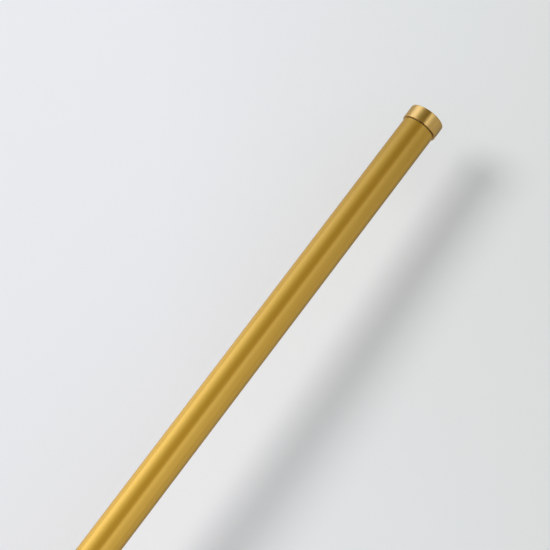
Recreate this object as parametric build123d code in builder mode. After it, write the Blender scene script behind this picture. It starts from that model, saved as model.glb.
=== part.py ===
from build123d import *
import math
import os

# A rhythmic gymnastics ribbon wand, in millimetres.
# X runs along the wand: 0 is the butt cap's end face, and the ribbon is at the far end. Z is up.

# Stick
CAP_OD = 10.0
CAP_LENGTH = 4.0
CAP_ROUND = 0.35
RIM_CHAMFER = 0.1
PILOT_LENGTH = 1.0
PILOT_GAP = 0.06
WASHER_OD = 8.7
WASHER_THICKNESS = 0.25
WASHER_GAP = 0.03
TUBE_OD = 9.2
TUBE_WALL = 0.7
TUBE_LENGTH = 480.0
BOND_GAP = 0.02

# Cap thread
THREAD_OD = 5.0
THREAD_PITCH = 0.8
THREAD_DEPTH = 0.44
THREAD_GAP = 0.06
THREAD_LENGTH = 8.2
THREAD_RUNOUT = 0.6
THREAD_RELIEF = 0.8
RIDGE_ROOT_WIDTH = 0.66
RIDGE_CREST_WIDTH = 0.12
RIDGE_SINK = 0.1
CUT_TURNS = 14
CUT_LEAD_TURNS = 2
CUT_ROOT_WIDTH = 0.70
CUT_CREST_WIDTH = 0.24
CUT_SINK = 0.12
BUSH_LENGTH = 10.0
BUSH_SETBACK = 0.2
BUSH_LAND = 3.0
GLUE_GROOVE = 0.3

# Swivel in the tip
NOSE_LENGTH = 8.0
NOSE_OD = 5.6
NOSE_BORE = 3.52
NECK_STEP = 0.9
NECK_LENGTH = 0.5
TAPER_MIDDLE = (2.8, 2.0)
BEAD_LENGTH = 1.2
BEAD_HEIGHT = 0.3
BEAD_EDGE = 0.1
NOSE_EDGE = 0.2
BUSH_FLANGE_OD = 4.6
BUSH_FLANGE_THICKNESS = 0.5
BUSH_INSET = 0.3
PRESS_GAP = 0.01
CAVITY_OD = 6.0
CAVITY_DEPTH = 4.5
SPIGOT_LENGTH = 12.0
BALL_OD = 1.2
BALL_COUNT = 8
BALL_PLACE = 3.35
BALL_PITCH_RADIUS = 2.05
RACE_GAP = 0.75
GROOVE_RADIUS = 0.64
CUP_BORE = 2.6
CUP_GAP = 0.05
CAGE_OD = 5.6
CAGE_THICKNESS = 0.36
POCKET_GAP = 0.04
NUT_LENGTH = 1.45
NUT_GAP = 0.2
PLUG_LENGTH = 3.0
PLUG_SETBACK = 1.0
SPINDLE_OD = 2.0
RUNNING_GAP = 0.04
COLLAR_OD = 3.8
COLLAR_LENGTH = 0.5
COLLAR_CONE = 0.3
COLLAR_STEP = 0.1
LUG_BASE_OD = 3.2
NECK_OD = 2.6
NECK_END_OD = 2.2
NECK_SETBACK = 0.5
LUG_WIDTH = 4.4
LUG_THICKNESS = 1.6
LUG_HOLE_OD = 2.3
LUG_REACH = 15.6
LUG_EDGE = 0.2
LUG_ROOT_WIDTH = 2.64
LUG_ROOT_SHIFT = 0.2

# Split ring
RING_RADIUS = 3.6
RING_WIRE_WIDTH = 0.8
RING_WIRE_HEIGHT = 0.5
RING_PITCH = 0.55
RING_TURNS = 1.85
RING_START_ANGLE = 117

# Snap clasp
EYE_RADIUS = 2.1
EYE_WIRE_OD = 1.1
EYE_INSET = 1.2
STEM_OD = 1.8
STEM_COLLAR_OD = 2.6
STEM_COLLAR_LENGTH = 0.6
STEM_COLLAR_START = 0.3
STEM_ROOT = 0.2
RIVET_HEAD_OD = 2.8
RIVET_HEAD_THICKNESS = 0.8
RIVET_HEAD_EDGE = (0.3, 0.4)
CLASP_LENGTH = 18.2
CLASP_WIDTH = 8.4
CLASP_THICKNESS = 2.6
CLASP_ROUND = 0.4
CLASP_BASE = 3.4
CLASP_CORNER = 2.2
RAIL_WIDTH = 1.7
OPENING_CORNER = 0.6
END_BAR_WIDTH = 2.0
BARREL_LENGTH = 4.8
BARREL_OD = 4.4
BARREL_CHAMFER = 0.4
GATE_GAP_START = 6.0
GATE_GAP_END = 13.2
GATE_TIP = 14.2
GATE_OUTER = 3.9
GATE_INNER = 2.3
GATE_STEP = 2.42
GATE_TIP_INNER = 1.75
GATE_TIP_START = 12.3
GATE_BAR_END = 11.5
GATE_BAR_RISE = 0.2
GATE_END_GAP = 0.1
GATE_THICKNESS = 1.0
GATE_HUB_OD = 2.3
HUB_RELIEF = 4.6
THUMB_BAR = (3.2, 0.9)
THUMB_BAR_PLACE = (9.6, 4.1)
THUMB_BAR_RISE = 0.3
SLOT_WIDTH = 1.2
SLOT_SIZE = (3.4, 3.9)
SLOT_SHIFT = (0.1, 0.35)
PIVOT_ALONG = 5.6
PIVOT_ACROSS = 3.1
PIVOT_BOSS_OD = 3.0
PIVOT_PIN_OD = 1.0
SPRING_RADIUS = 0.85
SPRING_WIRE_OD = 0.18
SPRING_PITCH = 0.21
SPRING_TURNS = 1.5
SPRING_HEIGHT = 0.15
SPRING_LEG = 1.2

# Ribbon
STRAP_WIDTH = 3.6
STRAP_THICKNESS = 0.7
STRAP_BEND = 1.6
STRAP_LENGTH = 22.0
STRAP_LOOP = 7.0
STRAP_BRIDGE = 1.0
BRIDGE_PLACE = 0.4
JOIN_LENGTH = 0.2
SLOT_OVERCUT = 0.1
STRAP_GAP = 0.62
RIBBON_WIDTH = 50.0
RIBBON_THICKNESS = 0.5
RIBBON_TUCK = 9.0
RIBBON_EDGE = 0.1
TUCK_MARGIN = 1.0
GATHER_MARGIN = (0.5, 1.0)
ROLL_OD = 40.0
ROLL_BORE = 10.0
ROLL_REACH = 40.0
LEADER_BEND = 12.0
STITCH_LENGTH = 1.1
STITCH_WIDTH = 0.28
STITCH_HEIGHT = 0.12
STITCH_LIFT = 0.01
STITCH_PITCH = (1.6, 1.2)
STITCH_GRID = (5, 3)

# Places along X
washer_start = CAP_LENGTH
tube_start = washer_start + WASHER_THICKNESS
tube_end = tube_start + TUBE_LENGTH
nose_end = tube_end + CAP_LENGTH + NOSE_LENGTH
ball_x = tube_end + BALL_PLACE
lug_x = tube_end + LUG_REACH
ring_x = lug_x + RING_RADIUS
eye_wire_x = ring_x + RING_RADIUS - EYE_INSET
eye_x = eye_wire_x + EYE_RADIUS
clasp_x = eye_x + EYE_RADIUS + STEM_COLLAR_LENGTH + STEM_COLLAR_START
end_bar_x = clasp_x + CLASP_LENGTH - END_BAR_WIDTH / 2
strap_end = end_bar_x + STRAP_LENGTH
roll_x = strap_end + ROLL_REACH

tube_bore = TUBE_OD / 2 - TUBE_WALL


def turned(*points):
    """Turns a closed profile of (along X, radius) points about the wand's axis."""
    with BuildSketch(Plane.XY) as profile:
        with BuildLine():
            Polyline(*points, close=True)
        make_face()
    revolve(profile.sketch, axis=Axis.X)


def save(piece, name):
    """Labels a finished piece and writes it as its own STEP file."""
    piece.label = name
    export_step(piece, f"parts/{name}.step")


def thread_ridge(start, length, root_radius, crest_radius, root_width, crest_width):
    """Makes one right-handed helical ridge about X, from its root to its crest, as a loose solid."""
    middle = (root_radius + crest_radius) / 2
    with BuildPart() as ridge:
        with BuildLine() as path:
            Helix(THREAD_PITCH, length, middle, center=(start, 0, 0), direction=(1, 0, 0))
        begin = path.line @ 0
        outward = Vector(0, begin.Y, begin.Z).normalized()
        with BuildSketch(Plane(origin=begin, x_dir=outward, z_dir=path.line % 0)):
            with BuildLine():
                Polyline(
                    (root_radius - middle, -root_width / 2),
                    (crest_radius - middle, -crest_width / 2),
                    (crest_radius - middle, crest_width / 2),
                    (root_radius - middle, root_width / 2),
                    close=True,
                )
            make_face()
        sweep(path=path.line, is_frenet=True)
    return ridge.part


os.makedirs("parts", exist_ok=True)

# ---------------------------------------------------------------- butt end

# The tube carries everything else. Its ends are broken with a small chamfer.
with BuildPart() as shaft_tube:
    with BuildSketch(Plane.YZ.offset(tube_start)):
        Circle(TUBE_OD / 2)
        Circle(tube_bore, mode=Mode.SUBTRACT)
    extrude(amount=TUBE_LENGTH)
    chamfer(shaft_tube.edges().filter_by(GeomType.CIRCLE), RIM_CHAMFER)
save(shaft_tube.part, "shaft_tube")

# The cap is one turned piece: head, locating pilot, thread relief and threaded stud.
pilot_end = CAP_LENGTH + PILOT_LENGTH
thread_start = pilot_end + THREAD_RELIEF
stud_end = thread_start + THREAD_LENGTH
thread_root = THREAD_OD / 2 - THREAD_DEPTH
with BuildPart() as butt_cap:
    with BuildSketch(Plane.XY):
        with BuildLine():
            Polyline(
                (0, 0),
                (0, CAP_OD / 2),
                (CAP_LENGTH, CAP_OD / 2),
                (CAP_LENGTH, tube_bore - PILOT_GAP),
                (pilot_end, tube_bore - PILOT_GAP),
                (pilot_end, thread_root),
                (stud_end, thread_root),
                (stud_end, 0),
                close=True,
            )
        make_face()
        rim = vertices().filter_by_position(Axis.Y, CAP_OD / 2, CAP_OD / 2)
        fillet(rim.sort_by(Axis.X)[0], CAP_ROUND)
        chamfer(rim.sort_by(Axis.X)[-1], RIM_CHAMFER)
    revolve(axis=Axis.X)
    add(
        thread_ridge(
            thread_start,
            THREAD_LENGTH - THREAD_RUNOUT,
            thread_root - RIDGE_SINK,
            THREAD_OD / 2,
            RIDGE_ROOT_WIDTH,
            RIDGE_CREST_WIDTH,
        )
    )
save(butt_cap.part, "butt_cap")

# A thin dark washer, a little smaller than the tube, sits between cap and tube.
with BuildPart() as cap_washer:
    with BuildSketch(Plane.YZ.offset(washer_start)):
        Circle(WASHER_OD / 2)
        Circle(tube_bore - WASHER_GAP, mode=Mode.SUBTRACT)
    extrude(amount=WASHER_THICKNESS)
save(cap_washer.part, "cap_washer")

# The bush is bonded in the tube. Its female thread runs its whole length.
bush_start = pilot_end + BUSH_SETBACK
bush_end = bush_start + BUSH_LENGTH
bush_radius = tube_bore - BOND_GAP
minor_radius = thread_root + THREAD_GAP
with BuildPart() as butt_bush:
    turned(
        (bush_start, minor_radius),
        (bush_start, bush_radius),
        (bush_start + BUSH_LAND, bush_radius),
        (bush_start + BUSH_LAND, bush_radius - GLUE_GROOVE),
        (bush_end - BUSH_LAND, bush_radius - GLUE_GROOVE),
        (bush_end - BUSH_LAND, bush_radius),
        (bush_end, bush_radius),
        (bush_end, minor_radius),
    )
    add(
        thread_ridge(
            thread_start - CUT_LEAD_TURNS * THREAD_PITCH,
            CUT_TURNS * THREAD_PITCH,
            minor_radius - CUT_SINK,
            THREAD_OD / 2 + THREAD_GAP,
            CUT_ROOT_WIDTH,
            CUT_CREST_WIDTH,
        ),
        mode=Mode.SUBTRACT,
    )
save(butt_bush.part, "butt_bush")

# ---------------------------------------------------------------- swivel in the tip

# The ferrule matches the butt cap, then tapers to a nose with a bead.
collar_end = tube_end + CAP_LENGTH
shoulder_x = tube_end + CAVITY_DEPTH
bead_start = nose_end - BEAD_LENGTH
taper_start = (collar_end + NECK_LENGTH, CAP_OD / 2 - NECK_STEP)
taper_end = (bead_start, NOSE_OD / 2 - BEAD_HEIGHT)
with BuildPart() as tip_ferrule:
    with BuildSketch(Plane.XY):
        with BuildLine():
            Polyline(
                (nose_end, NOSE_BORE / 2),
                (shoulder_x, NOSE_BORE / 2),
                (shoulder_x, CAVITY_OD / 2),
                (tube_end - SPIGOT_LENGTH, CAVITY_OD / 2),
                (tube_end - SPIGOT_LENGTH, tube_bore - BOND_GAP),
                (tube_end, tube_bore - BOND_GAP),
                (tube_end, CAP_OD / 2 - RIM_CHAMFER),
                (tube_end + RIM_CHAMFER, CAP_OD / 2),
                (collar_end - CAP_ROUND, CAP_OD / 2),
                (collar_end, CAP_OD / 2 - CAP_ROUND),
                (collar_end, CAP_OD / 2 - NECK_STEP),
                taper_start,
            )
            ThreePointArc(
                taper_start,
                (collar_end + TAPER_MIDDLE[0], CAP_OD / 2 - TAPER_MIDDLE[1]),
                taper_end,
            )
            Polyline(
                taper_end,
                (bead_start, NOSE_OD / 2 - BEAD_EDGE),
                (bead_start + BEAD_EDGE, NOSE_OD / 2),
                (nose_end - NOSE_EDGE, NOSE_OD / 2),
                (nose_end, NOSE_OD / 2 - NOSE_EDGE),
                (nose_end, NOSE_BORE / 2),
            )
        make_face()
    revolve(axis=Axis.X)
save(tip_ferrule.part, "tip_ferrule")

# The flanged bush is pressed into the nose, and the spindle turns in it.
flange_end = nose_end + BUSH_FLANGE_THICKNESS
with BuildPart() as tip_bush:
    turned(
        (shoulder_x + BUSH_INSET, SPINDLE_OD / 2 + RUNNING_GAP),
        (shoulder_x + BUSH_INSET, NOSE_BORE / 2 - PRESS_GAP),
        (nose_end, NOSE_BORE / 2 - PRESS_GAP),
        (nose_end, BUSH_FLANGE_OD / 2),
        (flange_end, BUSH_FLANGE_OD / 2),
        (flange_end, SPINDLE_OD / 2 + RUNNING_GAP),
    )
save(tip_bush.part, "tip_bush")


def ball_groove():
    """Cuts the ring groove that the balls run in."""
    with Locations((ball_x, 0, 0)):
        Torus(BALL_PITCH_RADIUS, GROOVE_RADIUS, rotation=(0, 90, 0), mode=Mode.SUBTRACT)


# The fixed race sits on the cavity's shoulder.
with BuildPart() as bearing_cup:
    turned(
        (ball_x + RACE_GAP / 2, CUP_BORE / 2),
        (ball_x + RACE_GAP / 2, CAVITY_OD / 2 - CUP_GAP),
        (shoulder_x, CAVITY_OD / 2 - CUP_GAP),
        (shoulder_x, CUP_BORE / 2),
    )
    ball_groove()
save(bearing_cup.part, "bearing_cup")

with BuildPart() as bearing_balls:
    with Locations(Plane.YZ.offset(ball_x)):
        with PolarLocations(BALL_PITCH_RADIUS, BALL_COUNT):
            Sphere(BALL_OD / 2)
save(bearing_balls.part, "bearing_balls")

with BuildPart() as ball_cage:
    with BuildSketch(Plane.YZ.offset(ball_x)):
        Circle(CAGE_OD / 2)
        Circle(CUP_BORE / 2, mode=Mode.SUBTRACT)
        with PolarLocations(BALL_PITCH_RADIUS, BALL_COUNT):
            Circle(BALL_OD / 2 + POCKET_GAP, mode=Mode.SUBTRACT)
    extrude(amount=CAGE_THICKNESS / 2, both=True)
save(ball_cage.part, "ball_cage")

# The nut is the turning race. It is locked on the spindle's inner end.
nut_face = ball_x - RACE_GAP / 2
nut_start = nut_face - NUT_LENGTH
with BuildPart() as swivel_nut:
    turned(
        (nut_start, SPINDLE_OD / 2 + PRESS_GAP),
        (nut_start, CAVITY_OD / 2 - NUT_GAP),
        (nut_face, CAVITY_OD / 2 - NUT_GAP),
        (nut_face, SPINDLE_OD / 2 + PRESS_GAP),
    )
    ball_groove()
save(swivel_nut.part, "swivel_nut")

# The spindle's lug is a flat ear across Y, with a hole for the split ring.
spindle_collar = flange_end + RUNNING_GAP
cone_start = spindle_collar + COLLAR_LENGTH
neck_end = lug_x - LUG_HOLE_OD / 2 - NECK_SETBACK
with BuildPart() as swivel_spindle:
    turned(
        (nut_start, 0),
        (nut_start, SPINDLE_OD / 2),
        (spindle_collar, SPINDLE_OD / 2),
        (spindle_collar, COLLAR_OD / 2),
        (cone_start, COLLAR_OD / 2),
        (cone_start + COLLAR_CONE, LUG_BASE_OD / 2),
        (cone_start + COLLAR_CONE + COLLAR_STEP, NECK_OD / 2),
        (neck_end, NECK_END_OD / 2),
        (neck_end, 0),
    )
    with BuildSketch(Plane.XZ):
        with Locations((lug_x, 0)):
            Circle(LUG_WIDTH / 2)
        with Locations((lug_x - LUG_WIDTH / 4 - LUG_ROOT_SHIFT, 0)):
            Rectangle(LUG_WIDTH / 2, LUG_ROOT_WIDTH)
    extrude(amount=LUG_THICKNESS / 2, both=True)
    chamfer(swivel_spindle.faces().filter_by(Axis.Y).edges().filter_by(GeomType.CIRCLE), LUG_EDGE)
    with Locations(Location((lug_x, 0, 0), (90, 0, 0))):
        Cylinder(LUG_HOLE_OD / 2, LUG_THICKNESS * 2, mode=Mode.SUBTRACT)
    circles = swivel_spindle.edges().filter_by(GeomType.CIRCLE)
    chamfer(circles.filter_by(lambda edge: edge.radius == LUG_HOLE_OD / 2), LUG_EDGE)
save(swivel_spindle.part, "swivel_spindle")

# The plug keeps the bearing's grease out of the tube.
with BuildPart() as cavity_plug:
    with BuildSketch(Plane.YZ.offset(nut_start - PLUG_SETBACK)):
        Circle(CAVITY_OD / 2 - BOND_GAP)
    extrude(amount=-PLUG_LENGTH)
save(cavity_plug.part, "cavity_plug")

# ---------------------------------------------------------------- split ring and clasp

# A flat wire wound almost twice round, its ends staggered as on any key ring.
with BuildPart() as split_ring:
    with BuildLine(Plane((ring_x, 0, 0)).rotated((0, 0, RING_START_ANGLE))) as coil:
        Helix(
            RING_PITCH,
            RING_PITCH * RING_TURNS,
            RING_RADIUS,
            center=(0, 0, -RING_PITCH * RING_TURNS / 2),
        )
    begin = coil.line @ 0
    outward = Vector(begin.X - ring_x, begin.Y, 0).normalized()
    with BuildSketch(Plane(origin=begin, x_dir=outward, z_dir=coil.line % 0)):
        Rectangle(RING_WIRE_WIDTH, RING_WIRE_HEIGHT)
    sweep(path=coil.line, is_frenet=True)
save(split_ring.part, "split_ring")

# The eye hooks through the split ring. Its riveted stem lets the clasp turn.
stem_start = eye_x + EYE_RADIUS - STEM_ROOT
stem_end = clasp_x + BARREL_LENGTH + RUNNING_GAP
rivet_end = stem_end + RIVET_HEAD_THICKNESS
with BuildPart() as clasp_eye:
    with Locations((eye_x, 0, 0)):
        Torus(EYE_RADIUS, EYE_WIRE_OD / 2, rotation=(90, 0, 0))
    turned(
        (stem_start, 0),
        (stem_start, STEM_OD / 2),
        (eye_x + EYE_RADIUS + STEM_COLLAR_START, STEM_COLLAR_OD / 2),
        (clasp_x - RUNNING_GAP, STEM_COLLAR_OD / 2),
        (clasp_x - RUNNING_GAP, STEM_OD / 2),
        (stem_end, STEM_OD / 2),
        (stem_end, RIVET_HEAD_OD / 2),
        (rivet_end - RIVET_HEAD_EDGE[0], RIVET_HEAD_OD / 2),
        (rivet_end, RIVET_HEAD_OD / 2 - RIVET_HEAD_EDGE[1]),
        (rivet_end, 0),
    )
save(clasp_eye.part, "clasp_eye")

# The clasp's frame: a cast loop with a barrel, open on its +Y side for the gate.
pivot = (clasp_x + PIVOT_ALONG, PIVOT_ACROSS)
gap_middle = (GATE_GAP_START + GATE_GAP_END) / 2
with BuildPart() as clasp_body:
    with BuildSketch(Plane.XY):
        with Locations((clasp_x + (CLASP_BASE + CLASP_LENGTH) / 2, 0)):
            RectangleRounded(CLASP_LENGTH - CLASP_BASE, CLASP_WIDTH, CLASP_CORNER)
        with Locations((clasp_x + (BARREL_LENGTH + CLASP_LENGTH - END_BAR_WIDTH) / 2, 0)):
            RectangleRounded(
                CLASP_LENGTH - END_BAR_WIDTH - BARREL_LENGTH,
                CLASP_WIDTH - 2 * RAIL_WIDTH,
                OPENING_CORNER,
                mode=Mode.SUBTRACT,
            )
        with Locations((clasp_x + gap_middle, CLASP_WIDTH / 2)):
            Rectangle(GATE_GAP_END - GATE_GAP_START, 2 * RAIL_WIDTH, mode=Mode.SUBTRACT)
    extrude(amount=CLASP_THICKNESS / 2, both=True)
    rims = clasp_body.edges().group_by(Axis.Z)
    fillet(rims[0] + rims[-1], CLASP_ROUND)
    with Locations((*pivot, 0)):
        Cylinder(PIVOT_BOSS_OD / 2, CLASP_THICKNESS)
    turned(
        (clasp_x, 0),
        (clasp_x, BARREL_OD / 2 - BARREL_CHAMFER),
        (clasp_x + BARREL_CHAMFER, BARREL_OD / 2),
        (clasp_x + BARREL_LENGTH, BARREL_OD / 2),
        (clasp_x + BARREL_LENGTH, 0),
    )
    with Locations(Location((clasp_x, 0, 0), (0, 90, 0))):
        Cylinder(STEM_OD / 2 + RUNNING_GAP, 4 * BARREL_LENGTH, mode=Mode.SUBTRACT)
    with Locations((pivot[0] + SLOT_SHIFT[0], pivot[1] + SLOT_SHIFT[1], 0)):
        Box(*SLOT_SIZE, SLOT_WIDTH, mode=Mode.SUBTRACT)
    with Locations((*pivot, 0)):
        Cylinder(PIVOT_PIN_OD / 2 + PRESS_GAP, 2 * CLASP_THICKNESS, mode=Mode.SUBTRACT)
save(clasp_body.part, "clasp_body")

# The gate's hub is half as thick as its bar, which leaves room for the spring.
with BuildPart() as clasp_gate:
    with BuildSketch(Plane.XY):
        with BuildLine():
            Polyline(
                (clasp_x + GATE_GAP_START, GATE_OUTER),
                (clasp_x + GATE_GAP_END - GATE_END_GAP, GATE_OUTER),
                (clasp_x + GATE_GAP_END - GATE_END_GAP, GATE_STEP),
                (clasp_x + GATE_TIP, GATE_STEP),
                (clasp_x + GATE_TIP, GATE_TIP_INNER),
                (clasp_x + GATE_TIP_START, GATE_TIP_INNER),
                (clasp_x + GATE_BAR_END, GATE_INNER + GATE_BAR_RISE),
                (clasp_x + GATE_GAP_START, GATE_INNER),
                close=True,
            )
        make_face()
        with Locations(pivot):
            Circle(GATE_HUB_OD / 2)
    extrude(amount=GATE_THICKNESS / 2, both=True)
    with Locations((*pivot, GATE_THICKNESS / 2)):
        Box(HUB_RELIEF, HUB_RELIEF, GATE_THICKNESS, mode=Mode.SUBTRACT)
    with Locations((*pivot, 0)):
        Cylinder(PIVOT_PIN_OD / 2 + RUNNING_GAP, 2 * CLASP_THICKNESS, mode=Mode.SUBTRACT)
    with BuildSketch(Plane.XY):
        with Locations((clasp_x + THUMB_BAR_PLACE[0], THUMB_BAR_PLACE[1])):
            SlotOverall(*THUMB_BAR)
    extrude(amount=GATE_THICKNESS / 2 + THUMB_BAR_RISE, both=True)
save(clasp_gate.part, "clasp_gate")

with BuildPart() as clasp_gate_pin:
    with Locations((*pivot, 0)):
        Cylinder(PIVOT_PIN_OD / 2, CLASP_THICKNESS)
save(clasp_gate_pin.part, "clasp_gate_pin")

# A small torsion spring beside the gate's hub. One leg lies along the gate, one in the slot.
with BuildPart() as clasp_spring:
    with BuildLine(Plane((*pivot, 0)).rotated((0, 0, 90))) as coil:
        Helix(SPRING_PITCH, SPRING_PITCH * SPRING_TURNS, SPRING_RADIUS, center=(0, 0, SPRING_HEIGHT))
    begin = coil.line @ 0
    outward = Vector(begin.X - pivot[0], begin.Y - pivot[1], 0).normalized()
    with BuildSketch(Plane(origin=begin, x_dir=outward, z_dir=coil.line % 0)):
        Circle(SPRING_WIRE_OD / 2)
    sweep(path=coil.line, is_frenet=True)
    for end in clasp_spring.faces().filter_by(GeomType.PLANE):
        extrude(end, amount=SPRING_LEG)
save(clasp_spring.part, "clasp_spring")

# ---------------------------------------------------------------- ribbon

# The strap is webbing folded round the clasp's end bar, with a slot between its two tails.
strap_radius = STRAP_BEND + STRAP_THICKNESS
tail_height = STRAP_GAP + 2 * STRAP_THICKNESS
loop_end = end_bar_x + STRAP_LOOP
tail_middle = (loop_end + strap_end) / 2
with BuildPart() as ribbon_strap:
    with BuildSketch(Plane.XZ):
        with BuildSketch(mode=Mode.PRIVATE) as outside:
            with Locations((end_bar_x, 0)):
                Circle(strap_radius)
            with Locations((loop_end, 0)):
                Rectangle(JOIN_LENGTH, tail_height)
            make_hull()
        with BuildSketch(mode=Mode.PRIVATE) as inside:
            with Locations((end_bar_x, 0)):
                Circle(STRAP_BEND)
            with Locations((loop_end, 0)):
                Rectangle(JOIN_LENGTH, STRAP_GAP)
            make_hull()
        add(outside.sketch)
        with Locations((tail_middle, 0)):
            Rectangle(strap_end - loop_end, tail_height)
        add(inside.sketch, mode=Mode.SUBTRACT)
        with Locations((tail_middle, 0)):
            Rectangle(strap_end - loop_end + SLOT_OVERCUT, STRAP_GAP, mode=Mode.SUBTRACT)
        with Locations((loop_end + BRIDGE_PLACE, 0)):
            Rectangle(STRAP_BRIDGE, STRAP_GAP)
    extrude(amount=STRAP_WIDTH / 2, both=True)
save(ribbon_strap.part, "ribbon_strap")

# The ribbon leaves the strap flat, bends up and joins the roll. Its end narrows to fit the strap.
roll_radius = ROLL_OD / 2
bend_run = math.sqrt((LEADER_BEND + roll_radius) ** 2 - LEADER_BEND**2)
bend_start = roll_x - bend_run
bend_angle = math.degrees(math.atan2(bend_run, LEADER_BEND))
tuck_x = strap_end - RIBBON_TUCK
tuck_half = STRAP_WIDTH / 2 - RIBBON_EDGE
gather_start = strap_end + GATHER_MARGIN[0]
gather_end = roll_x - roll_radius + GATHER_MARGIN[1]
with BuildPart() as ribbon_roll:
    with BuildSketch(Plane.XZ):
        with BuildLine():
            flat = Line((tuck_x, 0), (bend_start, 0))
            JernArc(flat @ 1, flat % 1, LEADER_BEND, bend_angle)
            offset(amount=RIBBON_THICKNESS / 2, side=Side.BOTH)
        make_face()
        with Locations((roll_x, 0)):
            Circle(roll_radius)
            Circle(ROLL_BORE / 2, mode=Mode.SUBTRACT)
    extrude(amount=RIBBON_WIDTH / 2, both=True)
    with BuildSketch(Plane.XY.offset(-ROLL_OD)):
        with BuildLine():
            Polyline(
                (tuck_x - TUCK_MARGIN, tuck_half),
                (gather_start, tuck_half),
                (gather_end, RIBBON_WIDTH / 2),
                (roll_x + ROLL_OD, RIBBON_WIDTH / 2),
                (roll_x + ROLL_OD, -RIBBON_WIDTH / 2),
                (gather_end, -RIBBON_WIDTH / 2),
                (gather_start, -tuck_half),
                (tuck_x - TUCK_MARGIN, -tuck_half),
                close=True,
            )
        make_face()
    extrude(amount=2 * ROLL_OD, mode=Mode.INTERSECT)
save(ribbon_roll.part, "ribbon_roll")

# Stitches lie on both faces of the strap, over the tucked end of the ribbon.
with BuildPart() as ribbon_stitching:
    for side in (1, -1):
        height = side * (tail_height / 2 + STITCH_LIFT)
        with BuildSketch(Plane.XY.offset(height)):
            with Locations((strap_end - RIBBON_TUCK / 2, 0)):
                with GridLocations(*STITCH_PITCH, *STITCH_GRID):
                    SlotOverall(STITCH_LENGTH, STITCH_WIDTH)
        extrude(amount=side * STITCH_HEIGHT)
save(ribbon_stitching.part, "ribbon_stitching")
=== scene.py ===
import math
import random

import bmesh
import bpy
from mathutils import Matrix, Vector


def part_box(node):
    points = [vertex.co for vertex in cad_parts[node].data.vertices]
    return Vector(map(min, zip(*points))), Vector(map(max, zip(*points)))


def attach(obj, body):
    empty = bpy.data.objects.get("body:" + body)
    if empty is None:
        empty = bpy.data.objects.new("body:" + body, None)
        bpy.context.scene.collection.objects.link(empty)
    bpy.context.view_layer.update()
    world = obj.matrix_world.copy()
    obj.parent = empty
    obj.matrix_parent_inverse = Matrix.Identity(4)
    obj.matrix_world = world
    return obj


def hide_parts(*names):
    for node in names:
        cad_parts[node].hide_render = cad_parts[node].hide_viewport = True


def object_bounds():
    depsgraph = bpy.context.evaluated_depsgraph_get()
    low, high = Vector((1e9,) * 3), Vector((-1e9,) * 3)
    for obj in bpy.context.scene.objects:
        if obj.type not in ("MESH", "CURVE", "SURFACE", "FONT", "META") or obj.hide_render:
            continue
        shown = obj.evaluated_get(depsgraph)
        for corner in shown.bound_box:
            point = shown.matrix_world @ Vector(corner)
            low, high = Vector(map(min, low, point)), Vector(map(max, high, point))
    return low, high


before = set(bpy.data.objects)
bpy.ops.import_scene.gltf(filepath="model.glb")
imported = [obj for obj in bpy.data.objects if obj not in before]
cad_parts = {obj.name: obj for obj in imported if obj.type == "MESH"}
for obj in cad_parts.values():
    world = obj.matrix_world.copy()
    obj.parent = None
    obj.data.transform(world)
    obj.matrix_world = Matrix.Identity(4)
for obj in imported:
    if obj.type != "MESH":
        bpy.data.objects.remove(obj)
cad_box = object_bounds()

MM = 0.001
random.seed(7)

# The camera looks down on the butt end, from high above and a little from the ribbon's side
CAMERA_AZIMUTH = 125.7
CAMERA_ELEVATION = 70.1
CAMERA_DISTANCE = 623 * MM
CAMERA_AIM = Vector((60.0, -6.80, 0)) * MM
CAMERA_LENS = 157
CAMERA_SENSOR = 36
CAMERA_NEAREST = 0.01
CAMERA_RIGHT = (
    math.cos(math.radians(CAMERA_AZIMUTH)),
    math.sin(math.radians(CAMERA_AZIMUTH)),
    0,
)

# The key light, from the camera's left
KEY_DIRECTION = Vector((6.0, -16.7, 22)).normalized()
KEY_DISTANCE = 1.6
KEY_SIZE = 0.58
KEY_WATTS = 11
KEY_COLOUR = (1.0, 0.985, 0.96)

# The room, which lights everything evenly
AMBIENT = 0.66
ROOM_COLOUR = (0.97, 0.985, 0.98)

# The floor sinks a little along the wand, then rises to carry the ribbon roll: (x, height) in mm
FLOOR_PROFILE = [
    (-7000, -22),
    (-60, -22.6),
    (0, -23.6),
    (25, -24.8),
    (60, -27.4),
    (105, -29.8),
    (200, -29.5),
    (450, -21),
    (560, -20.1),
]
FLOOR_SIZE = 7.0
FLOOR_STEP = 12 * MM
FLOOR_FIRST_STEP = -40
FLOOR_LAST_STEP = 69

# The floor's colour carries a painted light gradient: its brightness changes from left to right of the
# camera's field, from bright to shaded. Further from the camera's aim than the gradient's reach it
# evens out. The stops say how far the paper has gone from bright to shaded, across the gradient's
# width.
PAPER_BRIGHT = (0.82, 0.835, 0.880)
PAPER_SHADED = (0.724, 0.745, 0.730)
GRADIENT_REACH = 0.2
GRADIENT_WIDTH = 0.6
GRADIENT_STOPS = [(0.0, 0.35), (0.38, 0.0), (0.49, 0.42), (0.60, 0.92), (0.68, 1.0), (1.0, 0.85)]

# A painted pool of light on the floor, between the tube and its shadow, for the light that the tube
# throws back
PAINTED_THROWN_LIGHT = 0.08
THROWN_LINE = 4 * MM
THROWN_REACH = (2 * MM, 18 * MM)
THROWN_BEGINS = (0.0, 25 * MM)
THROWN_ENDS = (0.15, 0.3)

# The floor as metal mirrors it, a painted reflection, on either side of the wand: beyond the cap, then
# along the tube.
# It is darker close under the wand, up to this distance: painted shade.
MIRRORED_LEFT = ((0.43, 0.43, 0.43), (0.92, 0.92, 0.94))
MIRRORED_RIGHT = ((0.44, 0.44, 0.44), (0.56, 0.56, 0.55))
MIRRORED_ALONG = (-0.04, 0.08)
MIRRORED_ACROSS = (-0.015, 0.015)
MIRRORED_UNDER = 0.62
MIRRORED_UNDER_REACH = 0.06

# The floor melts into the room between these distances from the wand's middle
FLOOR_FADE = (0.75, 2.4)

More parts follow.
